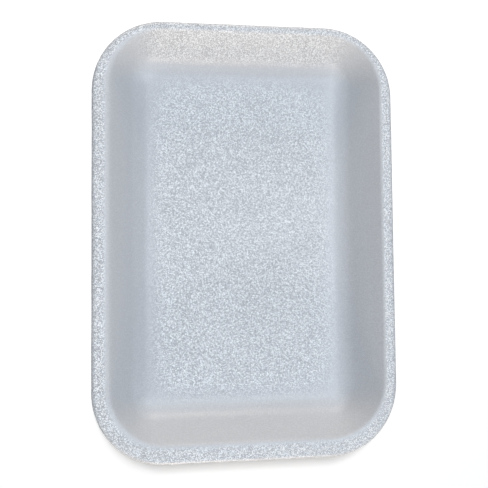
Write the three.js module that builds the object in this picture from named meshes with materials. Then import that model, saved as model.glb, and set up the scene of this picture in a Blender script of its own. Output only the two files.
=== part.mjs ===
// A shallow rectangular meat tray, formed as one piece from a sheet of white foam.
// Lengths are in millimetres and +Z is up. The tray lies flat with its length along Y, and
// the origin is on the surface that it rests on, under the middle of its rim.

import * as THREE from 'three';

// Overall size of the tray
const trayWidth = 146.05;
const trayLength = 209.55;
const trayHeight = 25.4;
const rimCornerRadius = 34;

// Width of the lip on each side, which the trimming leaves uneven
const leftLipWidth = 7;
const rightLipWidth = 6;
const backLipWidth = 4;
const frontLipWidth = 9;

// Rounds of the lip: its outer edge above and below, and where it turns into the wall
const lipTopRound = 2.2;
const lipUnderRound = 0.5;
const mouthEdgeRadius = 1.8;
const underLipFilletRadius = 1.2;

// The cavity: how far each wall leans in, and the corners of its mouth and floor
const sideWallRun = 14.1;
const endWallRun = 11.3;
const mouthCornerRadius = 27.5;
const floorCornerRadius = 5;
const floorFilletRadius = 12;

// Thickness of the foam
const floorThickness = 4;
const wallThickness = 2.8;
const lipThickness = 3.4;

// Fineness of the faceted surface
const cornerSteps = 10;
const filletSteps = 8;
const mouthEdgeSteps = 4;
const lipTopSteps = 5;
const lipUnderSteps = 2;

// Foam finish
const foamColor = 0xd3d9e2;
const foamRoughness = 0.62;
const foamMetalness = 0;

// The mouth is the line where the lip would meet the walls if the edge were sharp
const mouthHalfWidth = (trayWidth - leftLipWidth - rightLipWidth) / 2;
const mouthHalfLength = (trayLength - frontLipWidth - backLipWidth) / 2;
const rimCentre = new THREE.Vector2(0, 0);
const mouthCentre = new THREE.Vector2(
  (leftLipWidth - rightLipWidth) / 2,
  (frontLipWidth - backLipWidth) / 2,
);

// The outer side's corners are larger, by what the slope of the walls puts between the sides
const outerCornerGrowth = wallThickness / 2;

// A section is drawn with x as the distance in from the mouth or rim, and y as the height
const inward = new THREE.Vector2(1, 0);

// The wall's direction in section, down and in from the mouth to the floor
function wallDirection(run) {
  return new THREE.Vector2(run, floorThickness - trayHeight).normalize();
}

// The arc of a round between two directions that meet at a sharp corner
function roundCorner(corner, from, to, radius, steps) {
  const halfTurn = from.angleTo(to) / 2;
  const tangent = radius * Math.tan(halfTurn);
  const towardsCentre = to.clone().sub(from).normalize();
  const centre = corner.clone().addScaledVector(towardsCentre, radius / Math.cos(halfTurn));
  const start = corner.clone().addScaledVector(from, -tangent).sub(centre);
  const end = corner.clone().addScaledVector(to, tangent).sub(centre);
  const clockwise = from.cross(to) < 0;
  const arc = new THREE.EllipseCurve(
    centre.x, centre.y, radius, radius, start.angle(), end.angle(), clockwise,
  );
  return arc.getPoints(steps);
}

// The food side in section, from the mouth's edge down to the flat floor
function foodSideSection(run) {
  const wall = wallDirection(run);
  const mouth = new THREE.Vector2(0, trayHeight);
  const floor = new THREE.Vector2(run, floorThickness);
  return [
    ...roundCorner(mouth, inward, wall, mouthEdgeRadius, mouthEdgeSteps),
    ...roundCorner(floor, wall, inward, floorFilletRadius, filletSteps),
  ];
}

// The outer side in section, one wall thickness out, from under the lip down to the base
function outerSideSection(run) {
  const wall = wallDirection(run);
  const outward = new THREE.Vector2(wall.y, -wall.x);
  const onOuterFace = new THREE.Vector2(0, trayHeight).addScaledVector(outward, wallThickness);
  const atHeight = (z) => onOuterFace.clone().addScaledVector(wall, (z - onOuterFace.y) / wall.y);
  const underLip = atHeight(trayHeight - lipThickness);
  const base = atHeight(0);
  const baseRadius = floorFilletRadius + wallThickness;
  return [
    ...roundCorner(underLip, inward, wall, underLipFilletRadius, mouthEdgeSteps),
    ...roundCorner(base, wall, inward, baseRadius, filletSteps),
  ];
}

// The lip's outer edge in section: up its underside round, then over its top round
function lipEdgeSection() {
  const up = new THREE.Vector2(0, 1);
  const outward = new THREE.Vector2(-1, 0);
  const under = new THREE.Vector2(0, trayHeight - lipThickness);
  const top = new THREE.Vector2(0, trayHeight);
  return [
    ...roundCorner(under, outward, up, lipUnderRound, lipUnderSteps),
    ...roundCorner(top, up, inward, lipTopRound, lipTopSteps),
  ];
}

// One level line round the tray: a rounded rectangle, anticlockwise seen from above. Its
// height may differ between the sides and the ends, and blends round each corner.
function ring(centre, halfWidth, halfLength, cornerRadius, sideHeight, endHeight) {
  const points = [];
  for (const [signX, signY, startAngle] of [[1, 1, 0], [-1, 1, 0.5], [-1, -1, 1], [1, -1, 1.5]]) {
    for (let step = 0; step <= cornerSteps; step += 1) {
      const angle = Math.PI * (startAngle + step / cornerSteps / 2);
      const x = centre.x + signX * (halfWidth - cornerRadius) + cornerRadius * Math.cos(angle);
      const y = centre.y + signY * (halfLength - cornerRadius) + cornerRadius * Math.sin(angle);
      const z = THREE.MathUtils.lerp(sideHeight, endHeight, Math.sin(angle) ** 2);
      points.push(new THREE.Vector3(x, y, z));
    }
  }
  return points;
}

// The rings of the walls' food side or outer side. Their corners tighten towards the floor.
function wallRings(section, topHeight, bottomHeight, cornerGrowth) {
  const alongSides = section(sideWallRun);
  const alongEnds = section(endWallRun);
  return alongSides.map((side, i) => {
    const end = alongEnds[i];
    const level = ((side.y + end.y) / 2 - bottomHeight) / (topHeight - bottomHeight);
    const cornerRadius = THREE.MathUtils.lerp(floorCornerRadius, mouthCornerRadius, level);
    return ring(
      mouthCentre,
      mouthHalfWidth - side.x,
      mouthHalfLength - end.x,
      cornerRadius + cornerGrowth,
      side.y,
      end.y,
    );
  });
}

// The rings of the lip's outer edge, concentric with the rim
function lipEdgeRings() {
  return lipEdgeSection().map((point) => ring(
    rimCentre,
    trayWidth / 2 - point.x,
    trayLength / 2 - point.x,
    rimCornerRadius - point.x,
    point.y,
    point.y,
  ));
}

// A closed shell: the rings in order, closed at both ends by a flat fan of triangles
function shellGeometry(rings, firstCentre, lastCentre) {
  const ringSize = rings[0].length;
  const points = [...rings.flat(), firstCentre, lastCentre];
  const firstIndex = points.length - 2;
  const lastIndex = points.length - 1;
  const lastRing = (rings.length - 1) * ringSize;
  const index = [];
  for (let j = 0; j < ringSize; j += 1) {
    const next = (j + 1) % ringSize;
    index.push(firstIndex, j, next);
    for (let inner = 0; inner < lastRing; inner += ringSize) {
      const outer = inner + ringSize;
      index.push(inner + j, outer + j, outer + next);
      index.push(inner + j, outer + next, inner + next);
    }
    index.push(lastRing + j, lastIndex, lastRing + next);
  }
  const geometry = new THREE.BufferGeometry().setFromPoints(points);
  geometry.setIndex(index);
  geometry.computeVertexNormals();
  return geometry;
}

// The tray's shell, from the middle of the floor out over the lip and back under the base
function trayGeometry() {
  const foodSide = wallRings(foodSideSection, trayHeight, floorThickness, 0);
  const underLipHeight = trayHeight - lipThickness;
  const outerSide = wallRings(outerSideSection, underLipHeight, 0, outerCornerGrowth);
  const rings = [...foodSide.reverse(), ...lipEdgeRings().reverse(), ...outerSide];
  return shellGeometry(
    rings,
    new THREE.Vector3(mouthCentre.x, mouthCentre.y, floorThickness),
    new THREE.Vector3(mouthCentre.x, mouthCentre.y, 0),
  );
}

const foam = new THREE.MeshStandardMaterial({
  color: foamColor,
  roughness: foamRoughness,
  metalness: foamMetalness,
});

const foamTray = new THREE.Mesh(trayGeometry(), foam);
foamTray.name = 'foam_tray';

const group = new THREE.Group();
group.add(foamTray);

export default group;
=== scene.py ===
"""The look of a white foam meat tray: its fine surface, its foam finish and a plain studio."""

import math
from typing import NamedTuple

import bpy
from bpy.props import FloatProperty, FloatVectorProperty, IntProperty, PointerProperty
from bpy.types import Operator, Panel, PropertyGroup
from mathutils import Matrix, Vector


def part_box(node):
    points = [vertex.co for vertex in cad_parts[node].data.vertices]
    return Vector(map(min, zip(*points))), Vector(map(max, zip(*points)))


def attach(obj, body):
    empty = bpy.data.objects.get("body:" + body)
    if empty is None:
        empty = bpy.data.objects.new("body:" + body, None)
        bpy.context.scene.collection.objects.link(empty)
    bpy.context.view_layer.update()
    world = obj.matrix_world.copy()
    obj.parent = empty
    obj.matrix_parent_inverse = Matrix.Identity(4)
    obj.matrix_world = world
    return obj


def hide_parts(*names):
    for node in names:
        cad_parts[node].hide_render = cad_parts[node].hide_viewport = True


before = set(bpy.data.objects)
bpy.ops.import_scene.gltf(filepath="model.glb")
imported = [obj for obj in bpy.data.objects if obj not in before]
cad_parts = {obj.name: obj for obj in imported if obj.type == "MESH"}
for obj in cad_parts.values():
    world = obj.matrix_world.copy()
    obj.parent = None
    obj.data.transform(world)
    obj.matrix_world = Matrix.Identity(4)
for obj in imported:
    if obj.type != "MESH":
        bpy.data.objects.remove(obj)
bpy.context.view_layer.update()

bl_info = {
    "name": "Foam Meat Tray",
    "version": (1, 0, 0),
    "blender": (4, 5, 0),
    "location": "View3D > Sidebar > Foam Tray",
    "description": "Makes a formed foam tray and the plain studio that it lies in",
    "category": "Object",
}

TRAY_NODE = "foam_tray"
TRAY_LOW, TRAY_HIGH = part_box(TRAY_NODE)
TRAY_SIZE = TRAY_HIGH - TRAY_LOW
# Left off the height, so that rounding can't put the lip past the CAD model's box
HAIR = 1e-6

# Points in each round corner of the rim's line, before it is spaced out evenly
RIM_CORNER_POINTS = 64
# Points closer together than this become one: at the middle of the floor and of the base, and
# where each line round the tray closes
MERGE_DISTANCE = 1e-6
# A dent's share of the full depth is a noise from 0 to 1, times the first number and less the
# second. Where that is under 0, the surface stays as it is.
DENT_RISE = 2.0
DENT_FLOOR = 0.8

# How softly the foot of the sides turns into the foot of the ends, where the floor's grain comes
# in, and where the painted shadow at the walls' foot starts and ends. All are counted from the
# walls' foot towards the middle, in shares of the floor's fade.
WALL_FOOT_BLEND = 2.0
FLOOR_GRAIN_RAMP = (0.2, 1.5)
FOOT_START_RAMP = (-0.4, 0.25)
FOOT_END_RAMP = (0.3, 1.1)
# Where the lip is grainiest, and how far from there its grain fades, in shares of its width
LIP_CREST = 0.5
LIP_CREST_RAMP = (0.2, 0.5)
# Where the back wall's grain comes in, in shares of half the length and of the height, and where
# it fades towards the corners, in shares of half the width
BACK_LENGTH_RAMP = (0.0, 0.8)
BACK_HEIGHT_RAMP = (0.2, 0.5)
BACK_WIDTH_RAMP = (0.45, 0.8)

# How strongly a foam cell stands out: in shade, from its middle to its rim, and in its form
CELL_CONTRAST = 2.2
RING_CONTRAST = 1.2
CELL_BULGE = 0.35
CELL_TILT = 0.45
# A cell's shade without any contrast, and how far its usual point lies from its middle, in
# cell widths
MIDDLE_SHADE = 0.5
MIDDLE_DISTANCE = 0.42
# Broad patches of stronger and weaker grain: how many to a metre, the share of the grain that
# the weakest keep, and what the strongest have more
PATCH_SCALE = 22.0
PATCH_LEAST = 0.55
PATCH_RISE = 0.9
# Finer and finer layers in a noise
NOISE_DETAIL = 2.0
# How much darker the skin is where it was drawn smooth, which also paints the shade in the
# creases, and the painted shadow along the foot of the left and back walls, where they shade the
# floor
SMOOTH_AND_PAINTED_CREASE_SHADE = 0.2
PAINTED_FOOT_SHADE = 0.15
# Roughness of the skin and of the cut edge, how much their glossiest cells lose of it, and how
# near the cut's palest cells come to the skin's
SKIN_ROUGHNESS = 0.42
SKIN_GLOSS = 0.25
CUT_ROUGHNESS = 0.85
CUT_GLOSS = 0.2
CUT_PALENESS = 0.6
# The cut shows where the edge faces less upwards than this
CUT_STEEPNESS = 0.82


class LightPlace(NamedTuple):
    """Degrees above the floor, degrees round from the tray's right, and width in metres."""

    elevation: float
    azimuth: float
    width: float


FLOOR_LIGHT = LightPlace(elevation=73, azimuth=100, width=0.25)
KEY_LIGHT = LightPlace(elevation=62, azimuth=90, width=0.35)
OVERHEAD_LIGHT = LightPlace(elevation=80, azimuth=15, width=0.5)
FRONT_LIGHT = LightPlace(elevation=52, azimuth=270, width=0.5)
LOW_FRONT_LIGHT = LightPlace(elevation=8, azimuth=270, width=0.4)
LOW_BACK_LIGHT = LightPlace(elevation=15, azimuth=90, width=0.5)
LIGHT_DISTANCE = 1.2
LIGHT_AIM = Vector((0.0, 0.0, 0.02))

WHITE = (1.0, 1.0, 1.0)
STUDIO_HALF_WIDTH = 3.0
FLOOR_ROUGHNESS = 0.9
# The floor's colour as the tray sees it, which sets how much light comes back up
FLOOR_BOUNCE = (0.85, 0.85, 0.85)
# The camera's sensor in millimetres, and the nearest that it sees in metres
SENSOR_WIDTH = 36.0
NEAREST_SEEN = 0.01


# Sizes and colours that a user may change


def length_setting(name, description, default):
    """A length in metres, shown in the scene's units."""
    return FloatProperty(
        name=name, description=description, default=default, min=0.0, unit="LENGTH", precision=5
    )


def color_setting(name, description, default):
    """A colour with its own picker."""
    return FloatVectorProperty(
        name=name, description=description, default=default, subtype="COLOR", min=0.0, max=1.0
    )


def share_setting(name, description, default):
    """A share from none to all."""
    return FloatProperty(
        name=name, description=description, default=default, min=0.0, max=1.0, subtype="FACTOR"
    )


def power_setting(name, description, default):
    """A light's power in watts."""
    return FloatProperty(
        name=name, description=description, default=default, min=0.0, unit="POWER"
    )


class FoamTraySizes(PropertyGroup):
    """Sizes of the formed tray."""

    width: length_setting("Width", "Across the rim", TRAY_SIZE.x)
    length: length_setting("Length", "Along the rim", TRAY_SIZE.y)
    height: length_setting("Height", "From the base to the top of the lip", TRAY_SIZE.z - HAIR)
    rim_corner: length_setting("Rim Corner", "Corner radius of the rim", 0.034)
    left_lip: length_setting("Left Lip", "Width of the lip on the left side", 0.007)
    right_lip: length_setting("Right Lip", "Width of the lip on the right side", 0.006)
    back_lip: length_setting("Back Lip", "Width of the lip at the back end", 0.004)
    front_lip: length_setting("Front Lip", "Width of the lip at the front end", 0.009)
    lip_top_round: length_setting("Lip Top Round", "Round over the lip's outer edge", 0.0022)
    lip_under_round: length_setting("Lip Under Round", "Round under the lip's outer edge", 0.0005)
    left_edge: length_setting("Left Edge", "Round from the lip into the left wall", 0.005)
    right_edge: length_setting("Right Edge", "Round from the lip into the right wall", 0.0025)
    back_edge: length_setting("Back Edge", "Round from the lip into the back wall", 0.0018)
    front_edge: length_setting("Front Edge", "Round from the lip into the front wall", 0.0025)
    under_lip_fillet: length_setting(
        "Under Lip Fillet", "Fillet between the wall and the lip", 0.0012
    )
    side_run: length_setting("Side Wall Run", "How far the side walls lean in", 0.0141)
    end_run: length_setting("End Wall Run", "How far the end walls lean in", 0.0113)
    mouth_corner: length_setting("Mouth Corner", "Corner radius of the cavity's mouth", 0.0275)
    floor_corner: length_setting("Floor Corner", "Corner radius of the flat floor", 0.005)
    floor_fillet: length_setting("Floor Fillet", "Fillet between the walls and the floor", 0.012)
    floor_lead: length_setting(
        "Floor Lead", "Past each wall's foot, where the rings start to shrink", 0.009
    )
    floor_thickness: length_setting("Floor Thickness", "Foam at the floor", 0.004)
    wall_thickness: length_setting("Wall Thickness", "Foam at the walls", 0.0028)
    lip_thickness: length_setting("Lip Thickness", "Foam at the lip", 0.0034)
    dent_depth: length_setting("Dent Depth", "Depth of the foam's slight unevenness", 0.00022)
    dent_size: length_setting("Dent Size", "Usual distance between two low spots", 0.016)
    arc_steps: IntProperty(name="Arc Steps", description="Facets in each round", default=8, min=1)
    straight_cuts: IntProperty(
        name="Straight Cuts", description="Extra lines across each flat stretch", default=7, min=0
    )
    loop_points: IntProperty(
        name="Loop Points", description="Points in each line round the tray", default=328, min=16
    )
    floor_rows: IntProperty(
        name="Floor Rows", description="Lines round the flat floor and base", default=14, min=2
    )
    seed: IntProperty(name="Seed", description="Picks the pattern of the dents", default=5)


class FoamFinish(PropertyGroup):
    """Colours and grain of the foam."""

    dark_cell: color_setting("Dark Cell", "The skin's darkest cells", (0.456, 0.473, 0.502))
    pale_cell: color_setting("Pale Cell", "The skin's palest cells", (0.95, 0.98, 1.0))
    cut: color_setting("Cut Edge", "The trimmed edge, where cells lie open", (0.44, 0.455, 0.48))
    cell_size: length_setting("Cell Size", "Width of one cell of the skin", 0.00034)
    cut_cell_size: length_setting("Cut Cell Size", "Width of one open cell", 0.0004)
    wall_grain: share_setting("Wall Grain", "Grain left on walls that the forming stretched", 0.1)
    back_grain: share_setting(
        "Back Wall Grain", "Grain left on the back wall, stretched less", 0.9
    )
    lip_grain: share_setting("Lip Grain", "Grain on the lip", 1.0)
    outer_grain: share_setting("Outer Grain", "Grain on the outer side", 0.35)
    floor_fade: length_setting(
        "Floor Fade", "Over which the floor's grain fades towards the walls", 0.012
    )


class StudioSettings(PropertyGroup):
    """Camera, lights and floor."""

    camera_place: FloatVectorProperty(
        name="Camera Place",
        description="Where the camera stands",
        default=(-0.0371, -0.0141, 0.3091),
        subtype="TRANSLATION",
        unit="LENGTH",
    )
    camera_aim: FloatVectorProperty(
        name="Camera Aim",
        description="The point that the middle of the picture shows",
        default=(-0.0017, -0.0021, 0.0254),
        subtype="TRANSLATION",
        unit="LENGTH",
    )
    camera_roll: FloatProperty(
        name="Camera Roll",
        description="Turn about the line of sight, from the tray's length upright in the picture",
        default=math.radians(-0.54),
        subtype="ANGLE",
        unit="ROTATION",
    )
    focal_length: FloatProperty(
        name="Focal Length", description="Of the lens, in millimetres", default=44.3, min=1.0
    )
    floor_color: color_setting("Floor", "Colour of the studio floor", (0.93, 0.93, 0.93))
    key_power: power_setting("Key", "Light from behind and above", 2.2)
    overhead_power: power_setting("Overhead", "Light from nearly straight above", 6.1)
    front_power: power_setting("Front", "Light from in front and above", 3.0)
    low_front_power: power_setting("Low Front", "Light from low in front, on the back wall", 10.4)
    low_back_power: power_setting("Low Back", "Light from low behind, on the front wall", 6.4)
    floor_power: power_setting(
        "Floor Light", "From behind and above, on the studio floor alone", 8.6
    )
    cool_light: color_setting("Cool Light", "Of the lights from above", (0.84, 0.91, 1.0))
    warm_light: color_setting("Warm Light", "Of the low lights", (1.0, 0.86, 0.72))
    sky_strength: FloatProperty(name="Sky", description="Light from all round", default=0.12)
    floor_glow: FloatProperty(
        name="Floor Glow", description="Lifts the floor to white", default=0.33
    )


# Writing node trees


class NodeBench:
    """Adds nodes to one node tree and links what feeds them."""

    def __init__(self, tree):
        self.tree = tree

    def feed(self, socket, value):
        """Links a value from another node to a socket, or sets the socket to a plain value."""
        if isinstance(value, Field):
            self.tree.links.new(value.socket, socket)
        else:
            socket.default_value = value

    def add(self, kind, inputs=None, output=0, **settings):
        """One node. Its inputs are given by name or number, and one of its outputs comes back."""
        node = self.tree.nodes.new(kind)
        for name, value in settings.items():
            setattr(node, name, value)
        for key, value in (inputs or {}).items():
            self.feed(node.inputs[key], value)
        return Field(self, node.outputs[output])

    def math(self, operation, *values):
        """A Math node."""
        return self.add("ShaderNodeMath", dict(enumerate(values)), operation=operation)

    def vector_math(self, operation, *values):
        """A Vector Math node."""
        return self.add("ShaderNodeVectorMath", dict(enumerate(values)), operation=operation)

    def scaled(self, vector, factor):
        """A vector times a number."""
        return self.add(
            "ShaderNodeVectorMath", {"Vector": vector, "Scale": factor}, operation="SCALE"
        )

    def integer(self, operation, first, second):
        """An Integer Math node."""
        return self.add("FunctionNodeIntegerMath", {0: first, 1: second}, operation=operation)

    @staticmethod
    def blend(share, low, high):
        """Runs from low to high as share goes from 0 to 1."""
        return low + (high - low) * share

    def clamp(self, value, low, high):
        """A value held between two others."""
        return self.add("ShaderNodeClamp", {"Value": value, "Min": low, "Max": high})

    def ramp(self, value, low, high, to_low=0.0, to_high=1.0):
        """Rises softly from one result to another as the value goes from low to high."""
        inputs = {0: value, 1: low, 2: high, 3: to_low, 4: to_high}
        return self.add("ShaderNodeMapRange", inputs, interpolation_type="SMOOTHSTEP")

    def ramp_within(self, value, whole, shares, to_low=0.0, to_high=1.0):
        """A ramp between two shares of a length."""
        low, high = shares
        return self.ramp(value, whole * low, whole * high, to_low, to_high)

    def mark(self, geometry, name, value):
        """Stores a number with each point."""
        return self.add(
            "GeometryNodeStoreNamedAttribute",
            {"Geometry": geometry, "Name": name, "Value": value},
            data_type="FLOAT",
            domain="POINT",
        )

    def marked(self, name):
        """The number that was stored under a name."""
        return self.add("GeometryNodeInputNamedAttribute", {"Name": name}, data_type="FLOAT")

    def vector(self, x, y, z):
        """A vector from its parts."""
        return self.add("ShaderNodeCombineXYZ", {0: x, 1: y, 2: z})

    def parts(self, vector):
        """The x, y and z parts of a vector."""
        node = self.tree.nodes.new("ShaderNodeSeparateXYZ")
        self.feed(node.inputs[0], vector)
        return [Field(self, output) for output in node.outputs]

    def pick(self, data_type, index, values):
        """The value at an index of a list."""
        node = self.tree.nodes.new("GeometryNodeIndexSwitch")
        node.data_type = data_type
        while len(node.index_switch_items) < len(values):
            node.index_switch_items.new()
        self.feed(node.inputs["Index"], index)
        for place, value in enumerate(values):
            self.feed(node.inputs[place + 1], value)
        return Field(self, node.outputs[0])

    def sample(self, data_type, geometry, value, index):
        """A value of a geometry's point, picked by its index."""
        node = self.tree.nodes.new("GeometryNodeSampleIndex")
        node.data_type = data_type
        self.feed(node.inputs["Geometry"], geometry)
        self.feed(node.inputs["Value"], value)
        self.feed(node.inputs["Index"], index)
        return Field(self, node.outputs[0])


class Field:
    """A value that a node tree works out, for use in plain arithmetic."""

    def __init__(self, bench, socket):
        self.bench = bench
        self.socket = socket

    def __add__(self, other):
        return self.bench.math("ADD", self, other)

    def __radd__(self, other):
        return self.bench.math("ADD", other, self)

    def __sub__(self, other):
        return self.bench.math("SUBTRACT", self, other)

    def __rsub__(self, other):
        return self.bench.math("SUBTRACT", other, self)

    def __mul__(self, other):
        return self.bench.math("MULTIPLY", self, other)

    def __rmul__(self, other):
        return self.bench.math("MULTIPLY", other, self)

    def __truediv__(self, other):
        return self.bench.math("DIVIDE", self, other)

    def __rtruediv__(self, other):
        return self.bench.math("DIVIDE", other, self)

    def __neg__(self):
        return self.bench.math("MULTIPLY", self, -1.0)


def geometry_tree(name, inputs):
    """A Geometry Nodes tree with one geometry output, and its bench and inputs by name."""
    tree = bpy.data.node_groups.new(name, "GeometryNodeTree")
    tree.interface.new_socket("Geometry", in_out="OUTPUT", socket_type="NodeSocketGeometry")
    for socket_name, socket_type in inputs:
        tree.interface.new_socket(socket_name, in_out="INPUT", socket_type=socket_type)
    bench = NodeBench(tree)
    source = tree.nodes.new("NodeGroupInput")
    fields = {s.name: Field(bench, s) for s in source.outputs if s.name}
    return tree, bench, fields


def finish_tree(bench, geometry):
    """Joins the last geometry to the tree's output."""
    sink = bench.tree.nodes.new("NodeGroupOutput")
    bench.feed(sink.inputs["Geometry"], geometry)


# The tray


WALL_SIZES = ("Lip Width", "Wall Run", "Mouth Edge")
SHARED_SIZES = (
    "Height",
    "Lip Top Round",
    "Lip Under Round",
    "Under Lip Fillet",
    "Floor Fillet",
    "Floor Lead",
    "Floor Thickness",
    "Wall Thickness",
    "Lip Thickness",
)
SECTION_COUNTS = ("Arc Steps", "Straight Cuts")


def section_tree():
    """One wall in section, as a curve from the flat floor over the lip and back under the base.

    X is the distance in from the rim and Z is the height. in_cavity is 1 on what is formed with
    the cavity and 0 on the trimmed edge, and outer_side is 1 on the side away from the food.
    """
    inputs = [(name, "NodeSocketFloat") for name in WALL_SIZES + SHARED_SIZES]
    inputs += [(name, "NodeSocketInt") for name in SECTION_COUNTS]
    tree, bench, size = geometry_tree("Tray Section", inputs)
    lip, run = size["Lip Width"], size["Wall Run"]
    height, thick_lip = size["Height"], size["Lip Thickness"]
    floor, wall = size["Floor Thickness"], size["Wall Thickness"]
    drop = height - floor
    slant = bench.math("SQRT", run * run + drop * drop)
    sine, cosine = drop / slant, run / slant
    under_lip = lip + (thick_lip * cosine - wall) / sine
    base_foot = lip + (height * cosine - wall) / sine
    flat = lip + run + size["Floor Lead"]
    under_height = height - thick_lip
    corners = [
        bench.vector(flat, 0.0, floor),
        bench.vector(lip + run, 0.0, floor),
        bench.vector(lip, 0.0, height),
        bench.vector(0.0, 0.0, height),
        bench.vector(0.0, 0.0, under_height),
        bench.vector(under_lip, 0.0, under_height),
        bench.vector(base_foot, 0.0, 0.0),
        bench.vector(flat, 0.0, 0.0),
    ]
    rounds = [
        0.0,
        size["Floor Fillet"],
        size["Mouth Edge"],
        size["Lip Top Round"],
        size["Lip Under Round"],
        size["Under Lip Fillet"],
        size["Floor Fillet"] + wall,
        0.0,
    ]
    in_cavity = [1.0, 1.0, 1.0, 0.0, 0.0, 1.0, 1.0, 1.0]
    outer_side = [0.0, 0.0, 0.0, 0.0, 0.0, 1.0, 1.0, 1.0]
    index = bench.add("GeometryNodeInputIndex")
    points = bench.add(
        "GeometryNodePoints",
        {"Count": len(corners), "Position": bench.pick("VECTOR", index, corners)},
    )
    curve = bench.add("GeometryNodePointsToCurves", {"Points": points})
    for name, values in (("in_cavity", in_cavity), ("outer_side", outer_side)):
        curve = bench.mark(curve, name, bench.pick("FLOAT", index, values))
    curve = bench.add(
        "GeometryNodeFilletCurve",
        {
            "Curve": curve,
            "Count": size["Arc Steps"],
            "Radius": bench.pick("FLOAT", index, rounds),
            "Limit Radius": True,
        },
        mode="POLY",
    )
    # The flat stretch after the last point of each round is cut up
    step_in_arc = bench.integer("MODULO", index, bench.integer("ADD", size["Arc Steps"], 1))
    on_flat = bench.math("LESS_THAN", step_in_arc, 0.5)
    curve = bench.add(
        "GeometryNodeSubdivideCurve",
        {"Curve": curve, "Cuts": on_flat * size["Straight Cuts"]},
    )
    finish_tree(bench, curve)
    return tree


TRAY_SIZES = (
    "Width",
    "Length",
    "Rim Corner",
    "Left Lip",
    "Right Lip",
    "Back Lip",
    "Front Lip",
    "Side Run",
    "End Run",
    "Left Edge",
    "Right Edge",
    "Back Edge",
    "Front Edge",
    "Mouth Corner",
    "Floor Corner",
    "Dent Depth",
    "Dent Size",
)
GRAIN_SETTINGS = ("Wall Grain", "Back Grain", "Lip Grain", "Outer Grain", "Floor Fade")
TRAY_COUNTS = ("Loop Points", "Floor Rows", "Seed")


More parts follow.
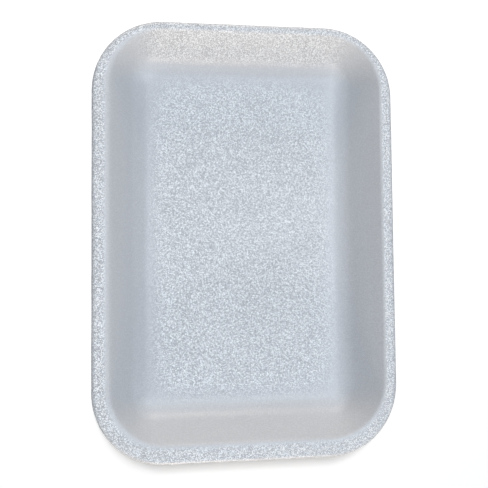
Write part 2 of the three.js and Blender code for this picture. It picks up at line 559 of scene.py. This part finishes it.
def tray_tree():
    """The whole shell: a grid whose rows are the section's points and whose columns go round."""
    names = TRAY_SIZES + GRAIN_SETTINGS + SHARED_SIZES
    inputs = [(name, "NodeSocketFloat") for name in names]
    inputs += [(name, "NodeSocketInt") for name in TRAY_COUNTS + SECTION_COUNTS]
    inputs += [(name, "NodeSocketMaterial") for name in ("Skin Material", "Cut Material")]
    tree, bench, size = geometry_tree("Formed Foam Tray", inputs)
    section = section_tree()

    def wall_section(lip, run, mouth_edge):
        given = {name: size[name] for name in SHARED_SIZES + SECTION_COUNTS}
        given |= {"Lip Width": size[lip], "Wall Run": size[run], "Mouth Edge": size[mouth_edge]}
        node = tree.nodes.new("GeometryNodeGroup")
        node.node_tree = section
        for name, value in given.items():
            bench.feed(node.inputs[name], value)
        return Field(bench, node.outputs[0])

    right = wall_section("Right Lip", "Side Run", "Right Edge")
    left = wall_section("Left Lip", "Side Run", "Left Edge")
    back = wall_section("Back Lip", "End Run", "Back Edge")
    front = wall_section("Front Lip", "End Run", "Front Edge")

    # Rows of the grid: the floor's, then the section's points, then the base's
    section_points = bench.add(
        "GeometryNodeAttributeDomainSize", {"Geometry": right}, component="CURVE"
    )
    floor_rows = size["Floor Rows"]
    columns = bench.integer("ADD", size["Loop Points"], 1)
    rows = bench.integer("ADD", section_points, bench.integer("MULTIPLY", floor_rows, 2))
    grid = bench.add(
        "GeometryNodeMeshGrid",
        {"Size X": 1.0, "Size Y": 1.0, "Vertices X": rows, "Vertices Y": columns},
    )
    index = bench.add("GeometryNodeInputIndex")
    row = bench.integer("DIVIDE_FLOOR", index, columns)
    column = bench.integer("MODULO", bench.integer("MODULO", index, columns), size["Loop Points"])
    last_row = rows - 1.0
    from_ends = bench.math("MINIMUM", row, last_row - row)
    spread = bench.math("MINIMUM", from_ends / floor_rows, 1.0)
    section_row = bench.clamp(row - floor_rows, 0.0, section_points - 1.0)

    # What the section gives at this row: how far in from the rim, and how high
    position = bench.add("GeometryNodeInputPosition")

    def in_and_up(section_curve):
        across, _, up = bench.parts(
            bench.sample("FLOAT_VECTOR", section_curve, position, section_row)
        )
        return across, up

    in_right, side_height = in_and_up(right)
    in_left, _ = in_and_up(left)
    in_back, end_height = in_and_up(back)
    in_front, _ = in_and_up(front)
    in_cavity = bench.sample("FLOAT", right, bench.marked("in_cavity"), section_row)
    outer_side = bench.sample("FLOAT", right, bench.marked("outer_side"), section_row)

    # Corner radius of this row: it tightens towards the floor, and follows the rim at the edge
    height, floor = size["Height"], size["Floor Thickness"]
    mean_height = (side_height + end_height) * 0.5
    food_level = (mean_height - floor) / (height - floor)
    outer_level = mean_height / (height - size["Lip Thickness"])
    level = bench.blend(outer_side, food_level, outer_level)
    growth = outer_side * size["Wall Thickness"] * 0.5
    cavity_corner = bench.blend(level, size["Floor Corner"], size["Mouth Corner"]) + growth
    rim_inset = bench.math("MINIMUM", in_right, size["Lip Top Round"])
    corner = bench.blend(in_cavity, size["Rim Corner"] - rim_inset, cavity_corner)

    # Where this column is on the rim: a place on the rectangle of corner centres, and a direction
    rim = bench.add(
        "GeometryNodeCurvePrimitiveQuadrilateral",
        {"Width": size["Width"], "Height": size["Length"]},
        mode="RECTANGLE",
    )
    rim = bench.add(
        "GeometryNodeFilletCurve",
        {
            "Curve": rim,
            "Count": RIM_CORNER_POINTS,
            "Radius": size["Rim Corner"],
            "Limit Radius": True,
        },
        mode="POLY",
    )
    rim = bench.add(
        "GeometryNodeResampleCurve", {"Curve": rim, "Count": size["Loop Points"]}, mode="COUNT"
    )
    rim_x, rim_y, _ = bench.parts(bench.sample("FLOAT_VECTOR", rim, position, column))
    half_width, half_length = size["Width"] * 0.5, size["Length"] * 0.5
    core_x, core_y = half_width - size["Rim Corner"], half_length - size["Rim Corner"]
    centre_x = bench.clamp(rim_x, -core_x, core_x)
    centre_y = bench.clamp(rim_y, -core_y, core_y)
    from_centre = bench.vector(rim_x - centre_x, rim_y - centre_y, 0.0)
    facing_x, facing_y, _ = bench.parts(bench.vector_math("NORMALIZE", from_centre))
    share_x = (centre_x / core_x + 1.0) * 0.5
    share_y = (centre_y / core_y + 1.0) * 0.5

    # The point itself
    right_centre = half_width - in_right - corner
    left_centre = in_left + corner - half_width
    back_centre = half_length - in_back - corner
    front_centre = in_front + corner - half_length
    ring_x = bench.blend(share_x, left_centre, right_centre) + corner * facing_x
    ring_y = bench.blend(share_y, front_centre, back_centre) + corner * facing_y
    ring_z = bench.blend(facing_y * facing_y, side_height, end_height)
    middle_x = (size["Left Lip"] - size["Right Lip"]) * 0.5
    middle_y = (size["Front Lip"] - size["Back Lip"]) * 0.5
    place = bench.vector(
        bench.blend(spread, middle_x, ring_x), bench.blend(spread, middle_y, ring_y), ring_z
    )
    shell = bench.add("GeometryNodeSetPosition", {"Geometry": grid, "Position": place})

    # How much of the foam's grain is left: it is whole on the floor, the lip and the back wall,
    # and forming stretched the other walls smooth
    point_x, point_y, point_z = bench.parts(position)
    off_middle_x = bench.math("ABSOLUTE", point_x - middle_x)
    off_middle_y = bench.math("ABSOLUTE", point_y - middle_y)
    lips_x = size["Left Lip"] + size["Right Lip"]
    lips_y = size["Front Lip"] + size["Back Lip"]
    floor_half_x = (size["Width"] - lips_x) * 0.5 - size["Side Run"]
    floor_half_y = (size["Length"] - lips_y) * 0.5 - size["End Run"]
    fade = size["Floor Fade"]
    from_walls = bench.math(
        "SMOOTH_MIN",
        floor_half_x - off_middle_x,
        floor_half_y - off_middle_y,
        fade * WALL_FOOT_BLEND,
    )
    floor_grain = bench.ramp_within(from_walls, fade, FLOOR_GRAIN_RAMP, size["Wall Grain"], 1.0)
    across_side = bench.blend(share_x, in_left / size["Left Lip"], in_right / size["Right Lip"])
    across_end = bench.blend(share_y, in_front / size["Front Lip"], in_back / size["Back Lip"])
    across_lip = bench.blend(facing_y * facing_y, across_side, across_end)
    off_crest = bench.math("ABSOLUTE", across_lip - LIP_CREST)
    near_crest = 1.0 - bench.ramp(off_crest, *LIP_CREST_RAMP)
    near_top = bench.ramp(point_z, height - size["Lip Top Round"], height)
    lip_grain = near_top * near_crest * size["Lip Grain"]
    towards_back = bench.ramp_within(point_y, half_length, BACK_LENGTH_RAMP)
    up_wall = bench.ramp_within(point_z, height, BACK_HEIGHT_RAMP)
    off_corners = 1.0 - bench.ramp_within(off_middle_x, half_width, BACK_WIDTH_RAMP)
    back_grain = towards_back * up_wall * off_corners * size["Back Grain"]
    food_grain = bench.math("MAXIMUM", bench.math("MAXIMUM", floor_grain, lip_grain), back_grain)
    grain = bench.blend(outer_side, food_grain, size["Outer Grain"])

    # A band of painted shadow on the food side, along the foot of the left and back walls, where
    # those walls shade the floor
    near_foot = bench.ramp_within(from_walls, fade, FOOT_START_RAMP)
    past_foot = bench.ramp_within(from_walls, fade, FOOT_END_RAMP)
    left_or_back = bench.clamp((1.0 - facing_x + facing_y) * 0.5, 0.0, 1.0)
    foot = near_foot * (1.0 - past_foot) * (1.0 - outer_side) * left_or_back
    for name, value in (("grain", grain), ("foot", foot), ("in_cavity", in_cavity)):
        shell = bench.mark(shell, name, value)
    shell = bench.add(
        "GeometryNodeMergeByDistance", {"Geometry": shell, "Distance": MERGE_DISTANCE}
    )

    # Slight unevenness, always inwards, and none under the base, which stays flat
    normal = bench.add("GeometryNodeInputNormal")
    pattern = bench.add(
        "ShaderNodeTexNoise",
        {
            "Vector": position,
            "W": size["Seed"],
            "Scale": 1.0 / size["Dent Size"],
            "Detail": NOISE_DETAIL,
        },
        noise_dimensions="4D",
    )
    low_spots = bench.math("MAXIMUM", pattern * DENT_RISE - DENT_FLOOR, 0.0)
    above_base = bench.math("MINIMUM", point_z / floor, 1.0)
    inward = bench.scaled(normal, -size["Dent Depth"] * low_spots * above_base)
    shell = bench.add("GeometryNodeSetPosition", {"Geometry": shell, "Offset": inward})
    shell = bench.add("GeometryNodeSetShadeSmooth", {"Geometry": shell, "Shade Smooth": True})

    # The cut edge: the part of the rim that isn't formed with the cavity and faces outwards
    facing_up = bench.math("ABSOLUTE", bench.parts(normal)[2])
    steep = bench.math("LESS_THAN", facing_up, CUT_STEEPNESS)
    on_edge = (1.0 - bench.marked("in_cavity")) * steep
    shell = bench.add("GeometryNodeRealizeInstances", {"Geometry": shell})
    shell = bench.add(
        "GeometryNodeSetMaterial", {"Geometry": shell, "Material": size["Skin Material"]}
    )
    shell = bench.add(
        "GeometryNodeSetMaterial",
        {
            "Geometry": shell,
            "Selection": bench.math("GREATER_THAN", on_edge, 0.5),
            "Material": size["Cut Material"],
        },
    )
    finish_tree(bench, shell)
    return tree


def set_input(modifier, name, value):
    """Sets one input of a Geometry Nodes modifier by the socket's identifier."""
    for item in modifier.node_group.interface.items_tree:
        if item.item_type == "SOCKET" and item.in_out == "INPUT" and item.name == name:
            modifier[item.identifier] = value
            return
    raise KeyError(name)


def values_of(settings, names):
    """What a group of settings holds, under the names that the node trees use for it."""
    return {name: getattr(settings, name.lower().replace(" ", "_")) for name in names}


def made_by(tree, values, name):
    """The plain mesh object that a Geometry Nodes tree makes from these inputs."""
    blank = bpy.data.meshes.new(name + "_maker")
    maker = bpy.data.objects.new(name + "_maker", blank)
    bpy.context.scene.collection.objects.link(maker)
    modifier = maker.modifiers.new("Shape", "NODES")
    modifier.node_group = tree
    for input_name, value in values.items():
        set_input(modifier, input_name, value)
    depsgraph = bpy.context.evaluated_depsgraph_get()
    mesh = bpy.data.meshes.new_from_object(maker.evaluated_get(depsgraph), depsgraph=depsgraph)
    bpy.data.objects.remove(maker)
    bpy.data.meshes.remove(blank)
    for slot in reversed(range(len(mesh.materials))):
        if mesh.materials[slot] is None:
            mesh.materials.pop(index=slot)
    mesh.name = name
    piece = bpy.data.objects.new(name, mesh)
    bpy.context.scene.collection.objects.link(piece)
    return piece


# Finishes


def foam_cells_group():
    """Foam cells: the shade and gloss of each, and a normal that bulges and tilts with it."""
    tree = bpy.data.node_groups.new("Foam Cells", "ShaderNodeTree")
    for name in ("Cell Size", "Grain"):
        tree.interface.new_socket(name, in_out="INPUT", socket_type="NodeSocketFloat")
    for name, kind in (
        ("Shade", "NodeSocketFloat"),
        ("Gloss", "NodeSocketFloat"),
        ("Normal", "NodeSocketVector"),
    ):
        tree.interface.new_socket(name, in_out="OUTPUT", socket_type=kind)
    bench = NodeBench(tree)
    source = tree.nodes.new("NodeGroupInput")
    cell_size = Field(bench, source.outputs["Cell Size"])
    grain = Field(bench, source.outputs["Grain"])
    place = bench.add("ShaderNodeTexCoord", output="Object")
    patches = bench.add(
        "ShaderNodeTexNoise", {"Vector": place, "Scale": PATCH_SCALE, "Detail": NOISE_DETAIL}
    )
    grain = grain * (PATCH_LEAST + patches * PATCH_RISE)

    cells = tree.nodes.new("ShaderNodeTexVoronoi")
    bench.feed(cells.inputs["Vector"], place)
    bench.feed(cells.inputs["Scale"], 1.0 / cell_size)
    random = Field(bench, cells.outputs["Color"])
    from_middle = Field(bench, cells.outputs["Distance"])
    centre = Field(bench, cells.outputs["Position"])
    random_shade, random_gloss, _ = bench.parts(random)
    # Squaring leaves most cells dull and a few pale. A third is the mean of the squares.
    from_mean = random_shade * random_shade - 1.0 / 3.0
    ring = (MIDDLE_DISTANCE - from_middle) * RING_CONTRAST
    shade = MIDDLE_SHADE + grain * (from_mean * CELL_CONTRAST + ring)

    # The normal bulges out from each cell's middle, and the whole cell leans its own way. Half is
    # taken off the random numbers, which run from 0 to 1.
    across_cell = bench.vector_math("SUBTRACT", place, centre)
    bulge = bench.scaled(across_cell, grain * CELL_BULGE / cell_size)
    lean = bench.vector_math("SUBTRACT", random, (0.5, 0.5, 0.5))
    lean = bench.scaled(lean, grain * CELL_TILT)
    normal = bench.add("ShaderNodeNewGeometry", output="Normal")
    bent = bench.vector_math("ADD", normal, bench.vector_math("ADD", bulge, lean))
    sink = tree.nodes.new("NodeGroupOutput")
    bench.feed(sink.inputs["Shade"], bench.clamp(shade, 0.0, 1.0))
    bench.feed(sink.inputs["Gloss"], random_gloss * grain)
    bench.feed(sink.inputs["Normal"], bench.vector_math("NORMALIZE", bent))
    return tree


def new_material(name):
    """A material with its Principled shader, and the bench for its nodes."""
    material = bpy.data.materials.new(name)
    material.use_nodes = True
    tree = material.node_tree
    shader = next(n for n in tree.nodes if n.type == "BSDF_PRINCIPLED")
    return material, NodeBench(tree), shader


def add_cells(bench, group, inputs):
    """The foam cells group in a material, with its outputs by name."""
    node = bench.tree.nodes.new("ShaderNodeGroup")
    node.node_tree = group
    for name, value in inputs.items():
        bench.feed(node.inputs[name], value)
    return {output.name: Field(bench, output) for output in node.outputs}


def mix_color(bench, share, low, high):
    """A colour between two others."""
    node = bench.tree.nodes.new("ShaderNodeMix")
    node.data_type = "RGBA"
    # The node has sockets of every kind under the same names, and shows those of its data type
    low_socket, high_socket = (s for s in node.inputs if s.type == "RGBA")
    mixed_socket = next(s for s in node.outputs if s.type == "RGBA")
    bench.feed(node.inputs["Factor"], share)
    bench.feed(low_socket, (*low, 1.0))
    bench.feed(high_socket, (*high, 1.0))
    return Field(bench, mixed_socket)


def skin_material(finish, cells):
    """The foam's skin: fine glittery cells on the flats, smoother where the walls were drawn."""
    material, bench, shader = new_material("foam_skin")
    grain = bench.add("ShaderNodeAttribute", output="Fac", attribute_name="grain")
    foam = add_cells(bench, cells, {"Cell Size": finish.cell_size, "Grain": grain})
    # The foot mask is painted shadow along the foot of the left and back walls
    foot = bench.add("ShaderNodeAttribute", output="Fac", attribute_name="foot")
    # Smooth skin is darker, and this darkening also paints the shade in the creases between walls
    # and floor
    paleness = foam["Shade"] - (1.0 - grain) * SMOOTH_AND_PAINTED_CREASE_SHADE - foot * PAINTED_FOOT_SHADE
    shade = mix_color(bench, paleness, finish.dark_cell, finish.pale_cell)
    bench.feed(shader.inputs["Base Color"], shade)
    bench.feed(shader.inputs["Roughness"], SKIN_ROUGHNESS - foam["Gloss"] * SKIN_GLOSS)
    bench.feed(shader.inputs["Normal"], foam["Normal"])
    return material


def cut_material(finish, cells):
    """The trimmed edge: darker and duller, with open cells."""
    material, bench, shader = new_material("foam_cut_edge")
    foam = add_cells(bench, cells, {"Cell Size": finish.cut_cell_size, "Grain": 1.0})
    shade = mix_color(bench, foam["Shade"] * CUT_PALENESS, finish.cut, finish.pale_cell)
    bench.feed(shader.inputs["Base Color"], shade)
    bench.feed(shader.inputs["Roughness"], CUT_ROUGHNESS - foam["Gloss"] * CUT_GLOSS)
    bench.feed(shader.inputs["Normal"], foam["Normal"])
    return material


class OBJECT_OT_foam_tray(Operator):
    """Makes the formed foam tray with its finish"""

    bl_idname = "object.foam_tray_make"
    bl_label = "Make Foam Tray"

    def execute(self, context):
        sizes, finish = context.scene.foam_tray_sizes, context.scene.foam_finish
        cells = foam_cells_group()
        values = values_of(sizes, TRAY_SIZES + SHARED_SIZES + TRAY_COUNTS + SECTION_COUNTS)
        values |= values_of(finish, GRAIN_SETTINGS)
        values["Skin Material"] = skin_material(finish, cells)
        values["Cut Material"] = cut_material(finish, cells)
        tray = made_by(tray_tree(), values, "formed_tray")
        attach(tray, "root")
        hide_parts(TRAY_NODE)
        return {"FINISHED"}


# The studio


def soft_light(name, place, power, tint):
    """A square soft light on a wide dome round the tray, facing its middle."""
    data = bpy.data.lights.new(name, "AREA")
    data.shape = "SQUARE"
    data.size = place.width
    data.energy = power
    data.color = tint
    light = bpy.data.objects.new(name, data)
    across = math.cos(math.radians(place.elevation))
    turn = math.radians(place.azimuth)
    rise = math.sin(math.radians(place.elevation))
    away = Vector((across * math.cos(turn), across * math.sin(turn), rise))
    light.location = away * LIGHT_DISTANCE
    light.rotation_euler = (LIGHT_AIM - light.location).to_track_quat("-Z", "Y").to_euler()
    bpy.context.scene.collection.objects.link(light)
    return light


def light_only(light, receiver, state):
    """Makes a light reach one object alone, or all but that one."""
    collection = bpy.data.collections.new(light.name + "_reach")
    collection.objects.link(receiver)
    collection.collection_objects[0].light_linking.link_state = state
    light.light_linking.receiver_collection = collection


def floor_material(settings):
    """A pale floor. The camera sees it lifted to white, and it throws less light back up."""
    material, bench, shader = new_material("studio_floor_paint")
    to_camera = bench.add("ShaderNodeLightPath", output="Is Camera Ray")
    paint = mix_color(bench, to_camera, FLOOR_BOUNCE, settings.floor_color)
    bench.feed(shader.inputs["Base Color"], paint)
    shader.inputs["Roughness"].default_value = FLOOR_ROUGHNESS
    shader.inputs["Specular IOR Level"].default_value = 0.0
    shader.inputs["Emission Color"].default_value = (*WHITE, 1.0)
    bench.feed(shader.inputs["Emission Strength"], to_camera * settings.floor_glow)
    return material


def studio_floor(scene, settings):
    """A wide square floor under the tray."""
    half = STUDIO_HALF_WIDTH
    mesh = bpy.data.meshes.new("studio_floor")
    corners = [(-half, -half, 0.0), (half, -half, 0.0), (half, half, 0.0), (-half, half, 0.0)]
    mesh.from_pydata(corners, [], [(0, 1, 2, 3)])
    mesh.materials.append(floor_material(settings))
    floor = bpy.data.objects.new("studio_floor", mesh)
    scene.collection.objects.link(floor)
    return floor


def add_lights(floor, settings):
    """One light for the floor alone, one for everything, and four that leave the floor out."""
    cool, warm = settings.cool_light, settings.warm_light
    floor_light = soft_light("floor_light", FLOOR_LIGHT, settings.floor_power, WHITE)
    soft_light("key_light", KEY_LIGHT, settings.key_power, cool)
    fills = [
        soft_light("overhead_light", OVERHEAD_LIGHT, settings.overhead_power, cool),
        soft_light("front_light", FRONT_LIGHT, settings.front_power, cool),
        soft_light("low_front_light", LOW_FRONT_LIGHT, settings.low_front_power, warm),
        soft_light("low_back_light", LOW_BACK_LIGHT, settings.low_back_power, warm),
    ]
    light_only(floor_light, floor, "INCLUDE")
    for light in fills:
        light_only(light, floor, "EXCLUDE")


def studio_air(settings):
    """Faint white light from all round. The camera sees plain white past the floor."""
    world = bpy.data.worlds.new("studio_air")
    world.use_nodes = True
    background = world.node_tree.nodes["Background"]
    background.inputs["Color"].default_value = (*WHITE, 1.0)
    bench = NodeBench(world.node_tree)
    to_camera = bench.add("ShaderNodeLightPath", output="Is Camera Ray")
    strength = bench.blend(to_camera, settings.sky_strength, 1.0)
    bench.feed(background.inputs["Strength"], strength)
    return world


def aimed_camera(scene, settings):
    """The camera in its place, with the tray's length upright in the picture."""
    data = bpy.data.cameras.new("camera")
    data.sensor_width = SENSOR_WIDTH
    data.lens = settings.focal_length
    data.clip_start = NEAREST_SEEN
    camera = bpy.data.objects.new("camera", data)
    place = Vector(settings.camera_place)
    back = (place - Vector(settings.camera_aim)).normalized()
    right = Vector((0.0, 1.0, 0.0)).cross(back).normalized()
    turn = Matrix((right, back.cross(right), back)).transposed().to_4x4()
    roll = Matrix.Rotation(settings.camera_roll, 4, "Z")
    camera.matrix_world = Matrix.Translation(place) @ turn @ roll
    scene.collection.objects.link(camera)
    return camera


class OBJECT_OT_foam_tray_studio(Operator):
    """Makes the plain floor, the soft lights and the camera"""

    bl_idname = "object.foam_tray_studio"
    bl_label = "Make Studio"

    def execute(self, context):
        scene, settings = context.scene, context.scene.foam_studio
        floor = studio_floor(scene, settings)
        add_lights(floor, settings)
        scene.world = studio_air(settings)
        scene.camera = aimed_camera(scene, settings)
        scene.view_settings.view_transform = "Standard"
        scene.view_settings.look = "None"
        return {"FINISHED"}


class VIEW3D_PT_foam_tray(Panel):
    """Lists what makes the tray and its studio"""

    bl_label = "Foam Tray"
    bl_idname = "VIEW3D_PT_foam_tray"
    bl_space_type = "VIEW_3D"
    bl_region_type = "UI"
    bl_category = "Foam Tray"

    def draw(self, context):
        layout, scene = self.layout, context.scene
        for operator, settings in (
            (OBJECT_OT_foam_tray, (scene.foam_tray_sizes, scene.foam_finish)),
            (OBJECT_OT_foam_tray_studio, (scene.foam_studio,)),
        ):
            layout.operator(operator.bl_idname)
            for group in settings:
                for name in group.__annotations__:
                    layout.prop(group, name)


CLASSES = (
    FoamTraySizes,
    FoamFinish,
    StudioSettings,
    OBJECT_OT_foam_tray,
    OBJECT_OT_foam_tray_studio,
    VIEW3D_PT_foam_tray,
)
SCENE_SETTINGS = {
    "foam_tray_sizes": FoamTraySizes,
    "foam_finish": FoamFinish,
    "foam_studio": StudioSettings,
}


def register():
    """Registers the classes, and gives the scene their settings."""
    for cls in CLASSES:
        bpy.utils.register_class(cls)
    for name, group in SCENE_SETTINGS.items():
        setattr(bpy.types.Scene, name, PointerProperty(type=group))


def unregister():
    """Takes back what register did."""
    for name in SCENE_SETTINGS:
        delattr(bpy.types.Scene, name)
    for cls in reversed(CLASSES):
        bpy.utils.unregister_class(cls)


def main():
    """Makes everything."""
    register()
    bpy.ops.object.foam_tray_studio()
    bpy.ops.object.foam_tray_make()


if __name__ == "__main__":
    main()
